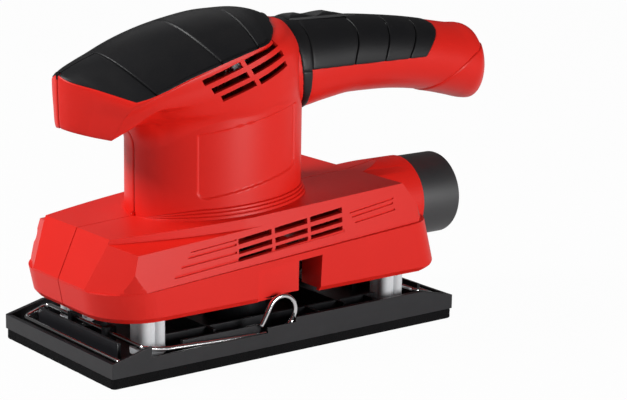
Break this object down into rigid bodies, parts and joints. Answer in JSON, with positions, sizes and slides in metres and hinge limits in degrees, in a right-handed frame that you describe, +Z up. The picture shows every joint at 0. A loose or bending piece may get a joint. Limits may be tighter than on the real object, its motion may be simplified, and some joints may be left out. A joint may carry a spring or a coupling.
{
  "type": "orbital sander",
  "caption": "Hand-held electric finishing sander: an oval motor column on an oblong orbiting plate, a palm head in front and a grip handle at the rear.",
  "frame": {"origin": "centre of the foam pad's sanding face, on the plate's own centre line", "axes": "+X to the rear, where the handle and the dust tube end; +Y to the user's right; +Z up out of the sanding face"},
  "size_m": [0.2345, 0.09, 0.1484],
  "materials": {
    "foam_pad": "closed-cell foam with a fine fibre underside",
    "base_plate": "dark grey satin",
    "front_clamp": "bright wire",
    "rear_clamp": "bright wire",
    "support_posts": "pale grey elastomer",
    "post_screws_lower": "zinc plated",
    "post_screws_upper": "zinc plated",
    "plate_bearing_outer": "ground",
    "plate_bearing_inner": "ground",
    "plate_bearing_balls": "polished",
    "lower_bearing_outer": "ground",
    "lower_bearing_inner": "ground",
    "lower_bearing_balls": "polished",
    "upper_bearing_outer": "ground",
    "upper_bearing_inner": "ground",
    "upper_bearing_balls": "polished",
    "bearing_clip": "spring steel",
    "eccentric_weight": "sintered",
    "cooling_fan": "black moulded",
    "motor_shaft": "turned",
    "armature_core": "laminated",
    "armature_winding": "varnished copper",
    "commutator": "copper bars",
    "stator_core": "laminated",
    "field_coils": "varnished copper",
    "brush_holders": "drawn brass",
    "carbon_brushes": "carbon",
    "brush_springs": "spring steel",
    "base_shell_left": "red satin moulding",
    "base_shell_right": "red satin moulding",
    "body_shell_left": "red satin moulding",
    "body_shell_right": "red satin moulding",
    "head_grip": "soft matt overmould",
    "handle_grip": "soft matt overmould",
    "handle_ring": "soft matt overmould",
    "handle_tail": "red satin moulding",
    "switch_slider": "black satin",
    "switch_body": "black moulded",
    "capacitor": "sleeved can",
    "cord_clamp": "black moulded",
    "clamp_screws": "zinc plated",
    "cord_gland": "black moulded",
    "dust_port": "black satin",
    "housing_screws": "blackened"
  },
  "bodies": {
    "housing": {"post_screws_upper": "post_screws_upper", "lower_bearing_outer": "lower_bearing_outer", "upper_bearing_outer": "upper_bearing_outer", "stator_core": "stator_core", "field_coils": "field_coils", "brush_holders": "brush_holders", "carbon_brushes": "carbon_brushes", "brush_springs": "brush_springs", "base_shell_left": "base_shell_left", "base_shell_right": "base_shell_right", "body_shell_left": "body_shell_left", "body_shell_right": "body_shell_right", "head_grip": "head_grip", "handle_grip": "handle_grip", "handle_ring": "handle_ring", "handle_tail": "handle_tail", "switch_body": "switch_body", "capacitor": "capacitor", "cord_clamp": "cord_clamp", "clamp_screws": "clamp_screws", "cord_gland": "cord_gland", "dust_port": "dust_port", "housing_screws": "housing_screws"},
    "rotor": {"motor_shaft": "motor_shaft", "armature_core": "armature_core", "armature_winding": "armature_winding", "commutator": "commutator", "cooling_fan": "cooling_fan", "eccentric_weight": "eccentric_weight", "lower_bearing_inner": "lower_bearing_inner", "lower_bearing_balls": "lower_bearing_balls", "upper_bearing_inner": "upper_bearing_inner", "upper_bearing_balls": "upper_bearing_balls", "plate_bearing_inner": "plate_bearing_inner", "plate_bearing_balls": "plate_bearing_balls"},
    "plate": {"base_plate": "base_plate", "foam_pad": "foam_pad", "plate_bearing_outer": "plate_bearing_outer", "bearing_clip": "bearing_clip", "support_posts": "support_posts", "post_screws_lower": "post_screws_lower"},
    "front_clamp": {"front_clamp": "front_clamp"},
    "rear_clamp": {"rear_clamp": "rear_clamp"},
    "switch": {"switch_slider": "switch_slider"}
  },
  "joints": [
    {"name": "rotor_spin", "type": "hinge", "parent": "housing", "child": "rotor", "pos_m": [-0.001, 0, 0.047], "axis": [0, 0, 1], "continuous": true},
    {"name": "plate_orbit", "type": "hinge", "parent": "rotor", "child": "plate", "pos_m": [0, 0, 0.0129], "axis": [0, 0, 1], "continuous": true, "deforming": ["support_posts"]},
    {"name": "front_clamp_lever", "type": "hinge", "parent": "plate", "child": "front_clamp", "pos_m": [-0.076, 0, 0.0145], "axis": [0, -1, 0], "range_deg": [0, 6]},
    {"name": "rear_clamp_lever", "type": "hinge", "parent": "plate", "child": "rear_clamp", "pos_m": [0.076, 0, 0.0145], "axis": [0, 1, 0], "range_deg": [0, 6]},
    {"name": "switch_slide", "type": "slide", "parent": "housing", "child": "switch", "axis": [1, 0, 0], "range_m": [0, 0.005]}
  ],
  "couplings": [
    {"joint": "plate_orbit", "follows": "rotor_spin", "ratio": -1}
  ]
}
